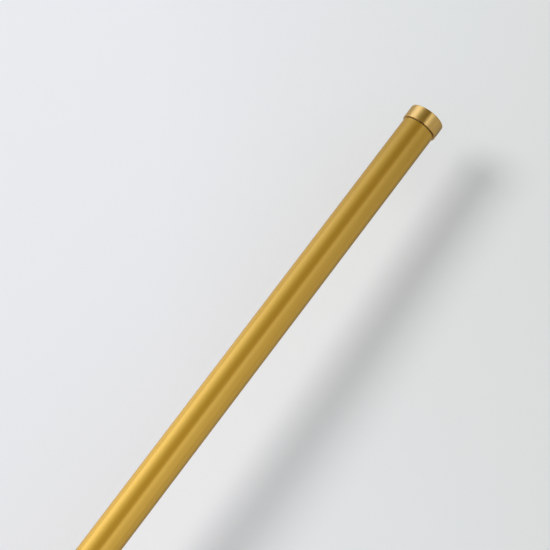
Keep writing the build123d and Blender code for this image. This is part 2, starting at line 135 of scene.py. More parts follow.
# What metal reflects all round the wand: (degrees from overhead towards +Y, colour)
STUDIO = [
    (-180, (0.40, 0.40, 0.38)),
    (-98, (1.00, 1.05, 1.30)),
    (-84, (1.30, 1.40, 2.00)),
    (-66, (1.22, 1.30, 1.75)),
    (-51, (0.95, 0.99, 1.10)),
    (-36, (0.72, 0.73, 0.62)),
    (-21, (0.56, 0.525, 0.33)),
    (-7, (0.49, 0.43, 0.195)),
    (13, (0.475, 0.415, 0.195)),
    (23, (0.73, 0.735, 0.78)),
    (31, (0.86, 0.89, 1.00)),
    (46, (0.70, 0.73, 0.80)),
    (62, (0.635, 0.635, 0.62)),
    (92, (0.66, 0.65, 0.63)),
    (180, (0.40, 0.40, 0.38)),
]

# Along the wand the studio dims beyond this X of the direction, at this rate and within these
# limits. Its share is a fixed part, and a part that grows with the studio's own level.
DIM_BEGINS = -0.205
DIM_RATE = 9.0
DIM_LIMITS = (-0.15, 2.0)
DIM_SHARE = (0.20, 0.21)

# Further along the wand either way, where only turned metal reflects, its contrast grows. Each side
# has (dark level, bright level, change where dark, change where bright).
CONTRAST_FRONT = (0.0, 0.3)
CONTRAST_BACK = (-0.42, -0.60)
CONTRAST_LEFT = (0.62, 1.10, -0.8, 0.9)
CONTRAST_RIGHT = (0.50, 0.86, -0.9, 1.4)
CONTRAST_SIDES = (-0.1, 0.1)
STUDIO_DARKEST = 0.05


# Ribbon, strap and stitches. Places come from the CAD nodes that they stand for.
roll_low, roll_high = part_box("ribbon_roll")
strap_low, strap_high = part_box("ribbon_strap")
stitch_low, stitch_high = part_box("ribbon_stitching")

RIBBON_WIDTH = roll_high.y - roll_low.y
RIBBON_THICKNESS = 0.14 * MM
RIBBON_COLUMNS = 36
ROLL_RADIUS = (roll_high.z - roll_low.z) / 2
ROLL_CENTRE = Vector((roll_high.x - ROLL_RADIUS, 0, 0))
ROLL_BORE = 5 * MM
TURN_PITCH = 0.2 * MM
TURN_STEPS = 64
OUTER_TURNS = 1.1
INNER_THINNING = 4

# A wound roll isn't perfect: it has two and three low bulges, each turn lies a little to one side,
# and the ribbon's edges stand proud
TWO_BULGES = 0.10 * MM
THREE_BULGES = 0.07 * MM
BULGE_TURN = 1
TURN_WANDER = 0.28 * MM
EDGE_RISE = 0.10 * MM
EDGE_SHARPNESS = 6

# The leader is gathered into pleats where it leaves the strap. They are deepest soon after it, not
# quite evenly spaced, and lower at the ribbon's edges.
LEADER_BEND = 12 * MM
LEADER_STEPS = 60
LEADER_BEND_STEPS = 24
LEADER_SAG = 0.8 * MM
TUCK_END = roll_low.x
TUCK_MARGIN = 0.15 * MM
GATHER_MARGIN = 0.5 * MM
GATHER_OVERRUN = 1 * MM
GATHER_EASE = 0.35
PLEATS = 4.5
PLEAT_DEPTH = 1.5 * MM
PLEAT_PEAK = 0.55
PLEAT_UNEVENNESS = 0.6
PLEAT_UNEVEN_TURN = 9
PLEAT_EDGE_LOSS = 0.55
TUCKED_PLEAT_DEPTH = 0.16 * MM

STRAP_WIDTH = strap_high.y - strap_low.y
STRAP_THICKNESS = 0.7 * MM
STRAP_CORNER = 0.25 * MM
STRAP_GAP = 0.62 * MM
STRAP_BEND = 1.6 * MM
STRAP_LOOP = 7 * MM
STRAP_END = strap_high.x
TAIL_STEPS = 16
SIDE_STEPS = 8
ROUND_STEPS = 36
CORNER_STEPS = 3
WEAVE_SHIFT = 5 * MM
BAR_X = strap_low.x + STRAP_BEND + STRAP_THICKNESS
GATHER_END = ROLL_CENTRE.x - ROLL_RADIUS + GATHER_OVERRUN

STITCH_COLUMNS = (-2, -1, 0, 1, 2)
STITCH_LINES = (-1, 0, 1)
STITCH_PITCH = 1.6 * MM
STITCH_LINE_GAP = 1.2 * MM
STITCH_LENGTH = 1.25 * MM
STITCH_RISE = 0.10 * MM
STITCH_ARCH = 0.62 * MM
STITCH_LEAN = 0.08 * MM
STITCH_HALF_WIDTH = 0.13 * MM
STITCH_HALF_HEIGHT = 0.11 * MM
STITCH_STEPS = 8


# ---------------------------------------------------------------- node helpers


class Graph:
    """Adds nodes to a node tree. Sockets are named by label, or by number as i0, i1."""

    def __init__(self, tree):
        self.tree = tree
        self.tree.nodes.clear()

    def add(self, kind, settings=None, **inputs):
        node = self.tree.nodes.new("ShaderNode" + kind)
        for key, value in (settings or {}).items():
            setattr(node, key, value)
        for key, value in inputs.items():
            numbered = key[0] == "i" and key[1:].isdigit()
            socket = node.inputs[int(key[1:])] if numbered else node.inputs[key.replace("_", " ")]
            if isinstance(value, bpy.types.NodeSocket):
                self.tree.links.new(value, socket)
            else:
                socket.default_value = value
        return node

    def math(self, operation, a, b=0.0, c=0.0):
        return self.add("Math", {"operation": operation}, i0=a, i1=b, i2=c).outputs[0]

    def vector_math(self, operation, a, b):
        return self.add("VectorMath", {"operation": operation}, i0=a, i1=b).outputs["Value"]

    def remap(self, value, start, end, low=0.0, high=1.0, soft=False):
        """Maps start..end to low..high and holds it level outside. Soft eases both ends."""
        settings = {"interpolation_type": "SMOOTHSTEP"} if soft else None
        return self.add("MapRange", settings, i0=value, i1=start, i2=end, i3=low, i4=high).outputs[0]

    def ramp(self, factor, stops):
        """A colour ramp. Each stop is (position, grey level or RGB)."""
        node = self.add("ValToRGB", Fac=factor)
        ramp = node.color_ramp
        while len(ramp.elements) < len(stops):
            ramp.elements.new(0.5)
        for element, (position, value) in zip(ramp.elements, stops):
            colour = (value,) * 3 if isinstance(value, (int, float)) else value
            element.position = position
            element.color = (*colour, 1)
        return node.outputs["Color"]

    def mix(self, factor, a, b, blend="MIX"):
        node = self.add("Mix", {"data_type": "RGBA", "blend_type": blend}, i0=factor)
        for socket, value in ((node.inputs[6], a), (node.inputs[7], b)):
            if isinstance(value, bpy.types.NodeSocket):
                self.tree.links.new(value, socket)
            else:
                socket.default_value = (*value, 1)
        return node.outputs[2]

    def dim(self, colour, level):
        """Multiplies a colour by a grey level."""
        grey = self.add("CombineColor", i0=level, i1=level, i2=level).outputs[0]
        return self.mix(1.0, colour, grey, "MULTIPLY")

    def noise(self, vector, scale, detail=2.0, roughness=0.5):
        """Noise with this many features to the metre."""
        node = self.add("TexNoise", Vector=vector, Scale=scale, Detail=detail, Roughness=roughness)
        return node.outputs["Fac"]

    def stretched_noise(self, vector, stretch, scale, detail, roughness):
        """Noise on coordinates that are multiplied by stretch first."""
        stretched = self.add("Mapping", Vector=vector, Scale=stretch).outputs["Vector"]
        return self.noise(stretched, scale, detail, roughness)

    def bump(self, height, distance, strength=1.0):
        return self.add("Bump", Strength=strength, Distance=distance, Height=height).outputs["Normal"]


def new_material(name):
    """Returns (material, its graph, the frame coordinates, their X, Y and Z in metres)."""
    material = bpy.data.materials.new(name)
    material.use_nodes = True
    graph = Graph(material.node_tree)
    place = graph.add("TexCoord").outputs["Object"]
    split = graph.add("SeparateXYZ", Vector=place)
    return material, graph, place, [split.outputs[k] for k in range(3)]


def finish_material(graph, **inputs):
    """Ends a material with one Principled shader."""
    shader = graph.add("BsdfPrincipled", **inputs)
    graph.add("OutputMaterial", Surface=shader.outputs["BSDF"])


# ---------------------------------------------------------------- metals


def gold_anodised():
    """Satin gold anodised aluminium. The etched metal scatters widely, and its smooth skin gives a
    sharper reflection of the same gold. Faint drawn lines run along the tube."""
    material, g, place, _ = new_material("gold_anodised_satin")
    deep_gold = (0.80, 0.475, 0.075)
    gold = (0.86, 0.53, 0.095)
    pale_gold = (0.95, 0.66, 0.25)
    drawn = g.stretched_noise(place, (6, 900, 900), 3.0, 4.0, 0.6)
    grain = g.noise(place, 9000, 2.0, 0.6)
    drift = g.noise(place, 35)
    colour = g.mix(g.math("MULTIPLY", drawn, 0.10), g.mix(drift, deep_gold, gold), pale_gold)
    lines = g.bump(drawn, 0.004 * MM, 0.5)
    etched_rough = g.math("MULTIPLY_ADD", grain, 0.08, 0.36)
    skin_rough = g.math("MULTIPLY_ADD", grain, 0.05, 0.10)
    etched, skin = [
        g.add("BsdfPrincipled", Base_Color=colour, Metallic=1.0, Roughness=rough, Normal=lines)
        for rough in (etched_rough, skin_rough)
    ]
    both = g.add("MixShader", i0=0.5, i1=etched.outputs[0], i2=skin.outputs[0])
    g.add("OutputMaterial", Surface=both.outputs[0])
    return material


def turned_metal(name, colour, dark):
    """Metal as it leaves the lathe: fine rings round the axis, reflections stretched along it."""
    material, g, place, (x, y, z) = new_material(name)
    radius = g.math("SQRT", g.math("ADD", g.math("MULTIPLY", y, y), g.math("MULTIPLY", z, z)))
    along = g.add("CombineXYZ", X=x, Y=radius, Z=0.0).outputs[0]
    rings = g.noise(along, 14000, 3.0, 0.65)
    broad = g.noise(along, 1800)
    stain = g.noise(place, 260, 3.0)
    base = g.mix(g.math("MULTIPLY", stain, 0.8), colour, dark)
    base = g.mix(g.math("MULTIPLY", rings, 0.35), base, dark)
    cut = g.math("MULTIPLY_ADD", broad, 0.6, rings)
    finish_material(
        g,
        Base_Color=base,
        Metallic=1.0,
        Roughness=g.math("MULTIPLY_ADD", rings, 0.10, 0.30),
        Anisotropic=0.95,
        Anisotropic_Rotation=0.25,
        Normal=g.bump(cut, 0.022 * MM),
        Tangent=g.add("Tangent", {"direction_type": "RADIAL", "axis": "X"}).outputs[0],
    )
    return material


def plated(name, colour, worn, rough=0.16):
    """Plated or polished metal: faintly uneven as a small casting is, with fine handling marks."""
    material, g, place, _ = new_material(name)
    patches = g.noise(place, 420, 3.0)
    marks = g.stretched_noise(place, (300, 2600, 2600), 3.0, 5.0, 0.7)
    base = g.mix(g.math("MULTIPLY", patches, 0.7), colour, worn)
    roughness = g.math("MULTIPLY_ADD", marks, 0.22, rough - 0.08)
    swell = g.math("ADD", g.math("MULTIPLY", patches, 0.7), g.math("MULTIPLY", marks, 0.3))
    normal = g.bump(swell, 0.012 * MM, 0.6)
    finish_material(g, Base_Color=base, Metallic=1.0, Roughness=roughness, Normal=normal)
    return material


def sintered_bronze():
    """Pressed and sintered bronze: speckled with small pores, painted dark as shade in the pits."""
    material, g, place, _ = new_material("sintered_bronze")
    pores = g.add("TexVoronoi", Vector=place, Scale=5200.0).outputs["Distance"]
    pits = g.ramp(pores, [(0.0, 0.0), (0.35, 1.0)])
    # painted shade: the pores are dark where the surface sinks
    base = g.mix(pits, (0.16, 0.08, 0.03), (0.62, 0.36, 0.16))
    normal = g.bump(pits, 0.01 * MM, 0.6)
    finish_material(g, Base_Color=base, Metallic=1.0, Roughness=0.38, Normal=normal)
    return material


def moulded(name, colour, deep, rough, through=0.0):
    """Moulded plastic or rubber, with a fine matt grain. Some light passes through where asked."""
    material, g, place, _ = new_material(name)
    grain = g.noise(place, 5200, 3.0, 0.6)
    cloud = g.noise(place, 300)
    finish_material(
        g,
        Base_Color=g.mix(cloud, colour, deep),
        Roughness=g.math("MULTIPLY_ADD", grain, 0.2, rough),
        Normal=g.bump(grain, 0.012 * MM, 0.5),
        Subsurface_Weight=through,
        Subsurface_Scale=0.5 * MM,
    )
    return material


# ---------------------------------------------------------------- cloth


def weave(g, u, v, along, across):
    """Height of an over-and-under weave. u and v are in metres, along and across the thread sizes."""
    turn_u = g.math("SINE", g.math("MULTIPLY", u, math.pi / along))
    turn_v = g.math("SINE", g.math("MULTIPLY", v, math.pi / across))
    return g.math("MULTIPLY_ADD", g.math("MULTIPLY", turn_u, turn_v), 0.5, 0.5)


def cloth_place(name):
    """A new material, its graph, and the cloth's own coordinates: along and across, in metres."""
    material, g, place, _ = new_material(name)
    split = g.add("SeparateXYZ", Vector=g.add("UVMap", {"uv_map": "cloth"}).outputs["UV"])
    return material, g, place, split.outputs[0], split.outputs[1]


def satin():
    """Crimson satin. Its floating threads run along the ribbon, and both edges are hemmed."""
    material, g, place, u, v = cloth_place("crimson_satin")
    thread_pitch = 0.09 * MM
    stitch_pitch = 2.4 * MM
    crimson = (0.56, 0.012, 0.045)
    deep_crimson = (0.44, 0.008, 0.036)
    threads = g.math("SINE", g.math("MULTIPLY", v, 2 * math.pi / thread_pitch))
    drawn_out = g.add("CombineXYZ", X=g.math("MULTIPLY", u, 0.06), Y=v, Z=0.0).outputs[0]
    slub = g.noise(drawn_out, 5200, 3.0)
    fibres = g.math("MULTIPLY_ADD", threads, 0.25, slub)
    # across the ribbon: 0 is its middle, 0.5 its edge
    aside = g.math("DIVIDE", g.math("ABSOLUTE", v), RIBBON_WIDTH)
    hem = g.ramp(aside, [(0.0, 0.0), (0.427, 0.0), (0.433, 1.0), (0.494, 1.0), (0.5, 0.6)])
    seam = g.ramp(aside, [(0.0, 0.0), (0.436, 0.0), (0.440, 1.0), (0.444, 1.0), (0.448, 0.0)])
    dashes = g.math("SINE", g.math("MULTIPLY", u, 2 * math.pi / stitch_pitch))
    stitches = g.math("MULTIPLY", seam, g.math("GREATER_THAN", dashes, -0.6))
    base = g.mix(g.noise(place, 60, 3.0), crimson, deep_crimson)
    base = g.mix(g.math("MULTIPLY", slub, 0.35), base, (0.70, 0.05, 0.10))
    base = g.mix(g.math("MULTIPLY", stitches, 0.6), base, (0.26, 0.004, 0.02))
    height = g.math("ADD", g.math("MULTIPLY", fibres, 0.10), g.math("MULTIPLY", hem, 0.6))
    height = g.math("SUBTRACT", height, g.math("MULTIPLY", stitches, 0.35))
    finish_material(
        g,
        Base_Color=base,
        Roughness=g.math("MULTIPLY_ADD", slub, 0.12, 0.32),
        Specular_IOR_Level=0.55,
        Anisotropic=0.7,
        Tangent=g.add("Tangent", {"direction_type": "UV_MAP", "uv_map": "cloth"}).outputs[0],
        Sheen_Weight=0.35,
        Sheen_Roughness=0.35,
        Sheen_Tint=(1.0, 0.45, 0.5, 1.0),
        Normal=g.bump(height, 0.12 * MM, 0.7),
    )
    return material


def webbing():
    """Off-white cotton webbing in a coarse plain weave, with painted shade in its hollows."""
    material, g, place, u, v = cloth_place("cream_webbing")
    thread_along = 0.42 * MM
    thread_across = 0.30 * MM
    cells = weave(g, u, v, thread_along, thread_across)
    fuzz = g.noise(place, 9000, 4.0, 0.7)
    # painted shade: darker where the weave is low
    base = g.mix(cells, (0.46, 0.41, 0.32), (0.82, 0.77, 0.66))
    base = g.mix(g.math("MULTIPLY", fuzz, 0.3), base, (0.60, 0.55, 0.45))
    normal = g.bump(g.math("MULTIPLY_ADD", fuzz, 0.35, cells), 0.10 * MM, 0.8)
    finish_material(g, Base_Color=base, Roughness=0.88, Sheen_Weight=0.4, Normal=normal)
    return material


def thread():
    """Twisted polyester thread: fine diagonal plies, with painted shade in the grooves between them."""
    material, g, place, (x, y, _) = new_material("cream_thread")
    ply_pitch = 0.16 * MM
    lean = g.math("MULTIPLY_ADD", y, 0.9, x)
    plies = g.math("SINE", g.math("MULTIPLY", lean, 2 * math.pi / ply_pitch))
    fuzz = g.noise(place, 12000, 3.0, 0.7)
    # painted shade: darker in the grooves between the plies
    base = g.mix(g.math("MULTIPLY_ADD", plies, 0.4, 0.5), (0.62, 0.55, 0.42), (0.90, 0.86, 0.74))
    normal = g.bump(g.math("ADD", plies, fuzz), 0.02 * MM, 0.8)
    finish_material(g, Base_Color=base, Roughness=0.62, Sheen_Weight=0.3, Normal=normal)
    return material


# ---------------------------------------------------------------- ribbon, strap and stitches


def new_piece(name, material, body, stands_for):
    """Links an empty mesh piece that rides on a body, in place of a CAD node where one is named."""
    mesh = bpy.data.meshes.new(name)
    mesh.materials.append(material)
    piece = bpy.data.objects.new(name, mesh)
    bpy.context.scene.collection.objects.link(piece)
    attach(piece, body)
    if stands_for:
        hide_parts(stands_for)
    return piece


def sheet(piece, rows, closed_section=False):
    """Fills a piece with quads from rows of (point, (along, across)), all in metres. A closed
    section joins each row's ends and caps the first and the last row."""
    shape = bmesh.new()
    cloth = shape.loops.layers.uv.new("cloth")
    verts = [[shape.verts.new(point) for point, _ in row] for row in rows]
    width = len(rows[0])
    for j in range(len(rows) - 1):
        for k in range(width if closed_section else width - 1):
            after = (k + 1) % width
            corners = ((j, k), (j, after), (j + 1, after), (j + 1, k))
            face = shape.faces.new([verts[a][b] for a, b in corners])
            face.smooth = True
            for loop, (a, b) in zip(face.loops, corners):
                loop[cloth].uv = rows[a][b][1]
    if closed_section:
        shape.faces.new(list(reversed(verts[0])))
        shape.faces.new(verts[-1])
    fill_piece(piece, shape)


def fill_piece(piece, shape):
    """Turns a built shape's faces outwards and puts it into the piece."""
    bmesh.ops.recalc_face_normals(shape, faces=shape.faces)
    shape.to_mesh(piece.data)
    shape.free()


def leader_path():
    """The ribbon's line in the XZ plane, from its tucked end to where it meets the roll, in metres.
    Each entry is (x, z, x slope, z slope). Also gives the angle on the roll where they meet."""
    flat_end = ROLL_CENTRE.x - math.sqrt((LEADER_BEND + ROLL_RADIUS) ** 2 - LEADER_BEND**2)
    path = []
    for k in range(LEADER_STEPS + 1):
        x = TUCK_END + (flat_end - TUCK_END) * k / LEADER_STEPS
        path.append((x, 0.0, 1.0, 0.0))
    turn = math.atan2(ROLL_CENTRE.x - flat_end, LEADER_BEND)
    for k in range(1, LEADER_BEND_STEPS + 1):
        a = turn * k / LEADER_BEND_STEPS
        x = flat_end + LEADER_BEND * math.sin(a)
        z = LEADER_BEND * (1 - math.cos(a))
        path.append((x, z, math.cos(a), math.sin(a)))
    return path, math.pi / 2 + turn


def half_width(x):
    """The ribbon is gathered to the strap's width where it is sewn in, and opens out to the roll."""
    part = min(max((x - STRAP_END - GATHER_MARGIN) / (GATHER_END - STRAP_END), 0.0), 1.0)
    narrow = STRAP_WIDTH / 2 - TUCK_MARGIN
    eased = part * part * (3 - 2 * part) * GATHER_EASE + part * (1 - GATHER_EASE)
    return narrow + (RIBBON_WIDTH / 2 - narrow) * eased


def leader_row(x, z, slope_x, slope_z, travelled):
    """One row of points across the leader: shallow pleats inside the strap, deep and sagging ones
    in the open, and almost none at the roll."""
    open_part = min(max((x - STRAP_END) / (GATHER_END - STRAP_END), 0.0), 1.0)
    depth = TUCKED_PLEAT_DEPTH + PLEAT_DEPTH * math.sin(math.pi * open_part**PLEAT_PEAK)
    sag = LEADER_SAG * open_part * (1 - open_part)
    half = half_width(x)
    row = []
    for k in range(RIBBON_COLUMNS + 1):
        across = 2 * k / RIBBON_COLUMNS - 1
        uneven = PLEAT_UNEVENNESS * math.sin(PLEAT_UNEVEN_TURN * across)
        fold = math.sin(PLEATS * math.pi * across + uneven)
        lift = depth * fold * (1 - PLEAT_EDGE_LOSS * abs(across) ** 3) - sag * abs(across)
        point = (x - slope_z * lift, across * half, z + slope_x * lift)
        row.append((point, (travelled, across * RIBBON_WIDTH / 2)))
    return row


def roll_row(angle, radius, shift, travelled):
    """One row of points across the roll."""
    row = []
    for k in range(RIBBON_COLUMNS + 1):
        across = 2 * k / RIBBON_COLUMNS - 1
        r = radius + EDGE_RISE * abs(across) ** EDGE_SHARPNESS
        x = ROLL_CENTRE.x + r * math.cos(angle)
        z = ROLL_CENTRE.z + r * math.sin(angle)
        y = across * RIBBON_WIDTH / 2
        row.append(((x, y + shift, z), (travelled, y)))
    return row


def make_ribbon(material):
    """About six metres of satin: a gathered leader, then the roll wound as one true spiral."""
    path, start_angle = leader_path()
    outer = []
    travelled = 0.0
    last_x, last_z, _, _ = path[0]
    for x, z, slope_x, slope_z in path:
        travelled += math.hypot(x - last_x, z - last_z)
        last_x, last_z = x, z
        outer.append(leader_row(x, z, slope_x, slope_z, travelled))
    inner = []
    turns = (ROLL_RADIUS - ROLL_BORE) / TURN_PITCH
    wander = [random.uniform(-1, 1) * TURN_WANDER for _ in range(int(turns) + 3)]
    for k in range(1, int(turns * TURN_STEPS) + 1):
        turn = k / TURN_STEPS
        angle = start_angle - 2 * math.pi * turn
        radius = ROLL_RADIUS - TURN_PITCH * turn
        bulge = TWO_BULGES * math.sin(2 * angle + BULGE_TURN) + THREE_BULGES * math.sin(3 * angle)
        radius += bulge * radius / ROLL_RADIUS
        whole = int(turn)
        part = turn - whole
        shift = wander[whole] * (1 - part) + wander[whole + 1] * part
        travelled += radius * 2 * math.pi / TURN_STEPS
        row = roll_row(angle, radius, shift, travelled)
        if turn < OUTER_TURNS:
            outer.append(row)
        else:
            inner.append(row[::INNER_THINNING])
    shown = new_piece("ribbon_satin", material, "ribbon", "ribbon_roll")
    sheet(shown, outer)
    thicken(shown, RIBBON_THICKNESS)
    # the hidden turns need fewer columns, and they go on from the last row of the outer ones
    hidden = new_piece("ribbon_inner_turns", material, "ribbon", None)
    sheet(hidden, [outer[-1][::INNER_THINNING]] + inner)
    thicken(hidden, RIBBON_THICKNESS)


def thicken(piece, thickness):
    """Gives a sheet its thickness, half to each side."""
    solid = piece.modifiers.new("thickness", "SOLIDIFY")
    solid.thickness = thickness
    solid.offset = 0


def strap_path():
    """The middle of the webbing as (x, z), from the upper tail's end round the bar to the lower's."""
    middle = STRAP_THICKNESS / 2
    bend = STRAP_BEND + middle
    tail = STRAP_GAP / 2 + middle
    join = BAR_X + STRAP_LOOP
    # the sides of the loop leave the bend at this angle from the wand's line and meet at the join
    lean = math.asin(bend / math.hypot(STRAP_LOOP, tail)) - math.atan2(tail, STRAP_LOOP)
    begin = math.pi / 2 - lean
    bend_x = BAR_X + bend * math.cos(begin)
    bend_z = bend * math.sin(begin)
    upper = []
    for k in range(TAIL_STEPS):
        upper.append((STRAP_END - (STRAP_END - join) * k / TAIL_STEPS, tail))
    for k in range(SIDE_STEPS):
        part = k / SIDE_STEPS
        upper.append((join + (bend_x - join) * part, tail + (bend_z - tail) * part))
    round_bar = []
    for k in range(ROUND_STEPS + 1):
        a = begin + (2 * math.pi - 2 * begin) * k / ROUND_STEPS
        round_bar.append((BAR_X + bend * math.cos(a), bend * math.sin(a)))
    return upper + round_bar + [(x, -z) for x, z in reversed(upper)]


def webbing_section():
    """The webbing's cross section: (across, up) round a flat strip with rounded edges."""
    side = STRAP_WIDTH / 2 - STRAP_CORNER
    top = STRAP_THICKNESS / 2 - STRAP_CORNER
    points = []
    for y, up, start in ((side, top, 0), (-side, top, 90), (-side, -top, 180), (side, -top, 270)):
        for k in range(CORNER_STEPS + 1):
            a = math.radians(start + 90 * k / CORNER_STEPS)
            points.append((y + STRAP_CORNER * math.cos(a), up + STRAP_CORNER * math.sin(a)))
    return points


def make_strap(material):
    """Webbing folded round the clasp's end bar. Its two tails lie over and under the ribbon."""
    piece = new_piece("ribbon_strap_loop", material, "ribbon", "ribbon_strap")
    path = strap_path()
    rows = []
    travelled = 0.0
    for k, (x, z) in enumerate(path):
        before = path[max(k - 1, 0)]
        after = path[min(k + 1, len(path) - 1)]
        direction = Vector((after[0] - before[0], 0, after[1] - before[1])).normalized()
        outward = Vector((direction.z, 0, -direction.x))
        travelled += math.hypot(x - before[0], z - before[1])
        row = []
        for y, up in webbing_section():
            # the weave on the two faces isn't the same
            weave_y = y if up > 0 else y + WEAVE_SHIFT
            row.append((Vector((x, y, z)) + outward * up, (travelled, weave_y)))
        rows.append(row)
    sheet(piece, rows, closed_section=True)


def add_stitch(shape, middle_x, middle_y, side):
    """A small round arch of thread that sinks into the webbing at both ends."""
    surface = STRAP_GAP / 2 + STRAP_THICKNESS
    lean = random.uniform(-STITCH_LEAN, STITCH_LEAN)
    rings = []
    for k in range(STITCH_STEPS + 1):
        part = k / STITCH_STEPS - 0.5
        x = middle_x + part * STITCH_LENGTH
        y = middle_y + part * lean
        z = side * (surface + STITCH_RISE - STITCH_ARCH * part * part)
        ring = []
        for n in range(STITCH_STEPS):
            a = 2 * math.pi * n / STITCH_STEPS
            point = (x, y + STITCH_HALF_WIDTH * math.cos(a), z + STITCH_HALF_HEIGHT * math.sin(a))
            ring.append(shape.verts.new(point))
        rings.append(ring)
    for first, second in zip(rings, rings[1:]):
        for n in range(STITCH_STEPS):
            m = (n + 1) % STITCH_STEPS
            face = shape.faces.new((first[n], first[m], second[m], second[n]))
            face.smooth = True
    shape.faces.new(list(reversed(rings[0])))
    shape.faces.new(rings[-1])


def make_stitches(material):
    """Five rows of three stitches on each face of the strap."""
    piece = new_piece("ribbon_stitches", material, "ribbon", "ribbon_stitching")
    middle_x = (stitch_low.x + stitch_high.x) / 2
    shape = bmesh.new()
    for side in (1, -1):
        for column in STITCH_COLUMNS:
            for line in STITCH_LINES:
                add_stitch(shape, middle_x + column * STITCH_PITCH, line * STITCH_LINE_GAP, side)
    fill_piece(piece, shape)


def paint(material, *nodes):
    """Gives CAD nodes a material."""
    for name in nodes:
        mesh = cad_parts[name].data
        mesh.materials.clear()
        mesh.materials.append(material)


# ---------------------------------------------------------------- the stage


def floor_height(x):
    """Height of the floor at x, straight between the profile's points. All in metres."""
    x = x / MM
    for (x0, z0), (x1, z1) in zip(FLOOR_PROFILE, FLOOR_PROFILE[1:]):
        if x < x1:
            part = min(max((x - x0) / (x1 - x0), 0), 1)
            return (z0 + (z1 - z0) * part) * MM
    return FLOOR_PROFILE[-1][1] * MM


def floor_mesh():
    """One row of wide faces across the wand, each FLOOR_STEP long near it."""
    mesh = bpy.data.meshes.new("floor")
    shape = bmesh.new()
    steps = [k * FLOOR_STEP for k in range(FLOOR_FIRST_STEP, FLOOR_LAST_STEP + 1)]
    xs = [-FLOOR_SIZE] + steps + [FLOOR_SIZE]
    near, far = [
        [shape.verts.new((x, y, floor_height(x))) for x in xs] for y in (-FLOOR_SIZE, FLOOR_SIZE)
    ]
    for k in range(len(xs) - 1):
        face = shape.faces.new((near[k], near[k + 1], far[k + 1], far[k]))
        face.smooth = True
    shape.to_mesh(mesh)
    shape.free()
    return mesh


def paper_with_painted_light(g, place, x, y):
    """The paper's colour with painted light in it: brightest a little left of the camera's aim, and a
    painted pool of light that the tube throws back."""
    rightward = g.vector_math("DOT_PRODUCT", place, CAMERA_RIGHT)
    # the gradient belongs to the camera's field: further out it widens, and the paper is even
    from_aim = g.math("DIVIDE", g.vector_math("DISTANCE", place, CAMERA_AIM), GRADIENT_REACH)
    widening = g.math("ADD", g.math("POWER", from_aim, 4.0), 1.0)
    width = g.math("MULTIPLY", widening, GRADIENT_WIDTH)
    step = g.math("ADD", g.math("DIVIDE", rightward, width), 0.5)
    # painted light: the paper goes from bright to shaded across the camera's field
    colour = g.mix(g.ramp(step, GRADIENT_STOPS), PAPER_BRIGHT, PAPER_SHADED)
    # a painted pool of light on the paper, between the tube and its shadow
    aside = g.math("ABSOLUTE", g.math("SUBTRACT", y, THROWN_LINE))
    thrown = g.remap(aside, *THROWN_REACH, PAINTED_THROWN_LIGHT, 0.0, soft=True)
    begins = g.remap(x, *THROWN_BEGINS, soft=True)
    ends = g.remap(x, *THROWN_ENDS, 1.0, 0.0, soft=True)
    lit = g.math("MULTIPLY_ADD", thrown, g.math("MULTIPLY", begins, ends), 1.0)
    return g.dim(colour, lit)


def painted_reflection_colour(g, x, y):
    """The paper as metal mirrors it, with painted light and shade: darker on the right and towards the
    cap, and darker close under the wand."""
    along = g.remap(x, *MIRRORED_ALONG)
    across = g.remap(y, *MIRRORED_ACROSS)
    # painted reflection: lighter on the left, darker on the right and towards the cap
    colour = g.mix(across, g.mix(along, *MIRRORED_LEFT), g.mix(along, *MIRRORED_RIGHT))
    # painted shade close under the wand
    under = g.remap(g.math("ABSOLUTE", y), 0.0, MIRRORED_UNDER_REACH, MIRRORED_UNDER, 1.0)
    return g.dim(colour, under)


def pale_paper():
    """Matt paper that fades into the room far away, so that the floor shows no edge."""
    material, g, place, (x, y, _) = new_material("pale_paper")
    rays = g.add("LightPath").outputs
    colour = g.mix(rays["Is Glossy Ray"], paper_with_painted_light(g, place, x, y), painted_reflection_colour(g, x, y))
    paper = g.add(
        "BsdfPrincipled",
        Base_Color=colour,
        Roughness=0.85,
        Specular_IOR_Level=0.15,
        Normal=g.bump(g.noise(place, 2600), 0.02 * MM, 0.15),
    )
    room = g.add("Emission", Color=(*ROOM_COLOUR, 1), Strength=AMBIENT)
    middle = ((cad_box[0][0] + cad_box[1][0]) / 2, 0, 0)
    away = g.vector_math("DISTANCE", place, middle)
    faded = g.remap(away, *FLOOR_FADE, soft=True)
    faded = g.math("MULTIPLY", faded, rays["Is Camera Ray"])
    both = g.add("MixShader", i0=faded, i1=paper.outputs[0], i2=room.outputs[0])
    g.add("OutputMaterial", Surface=both.outputs[0])
    return material


def make_floor():
    """A pale matt sheet under the wand."""
    mesh = floor_mesh()
    mesh.materials.append(pale_paper())
    floor = bpy.data.objects.new("floor", mesh)
    bpy.context.scene.collection.objects.link(floor)


def studio_gain(g, x, y, studio):
    """How bright the studio is along the wand: dimmer beyond the butt cap and brighter towards the
    ribbon, most of all where it is bright."""
    level = g.add("SeparateColor", Color=studio).outputs[0]
    beyond = g.math("MULTIPLY", g.math("SUBTRACT", DIM_BEGINS, x), DIM_RATE)
    beyond = g.add("Clamp", Value=beyond, Min=DIM_LIMITS[0], Max=DIM_LIMITS[1]).outputs[0]
    share = g.math("MULTIPLY_ADD", level, DIM_SHARE[1], DIM_SHARE[0])
    reach = g.math("ADD", g.remap(x, *CONTRAST_FRONT), g.remap(x, *CONTRAST_BACK))
    left = g.remap(level, *CONTRAST_LEFT)
    right = g.remap(level, *CONTRAST_RIGHT)
    side = g.remap(y, *CONTRAST_SIDES)
    contrast = g.add("Mix", {"data_type": "FLOAT"}, i0=side, i2=left, i3=right).outputs[0]
    gain = g.math("MULTIPLY_ADD", reach, contrast, 1.0)
    gain = g.math("SUBTRACT", gain, g.math("MULTIPLY", beyond, share))
    return g.math("MAXIMUM", gain, STUDIO_DARKEST)


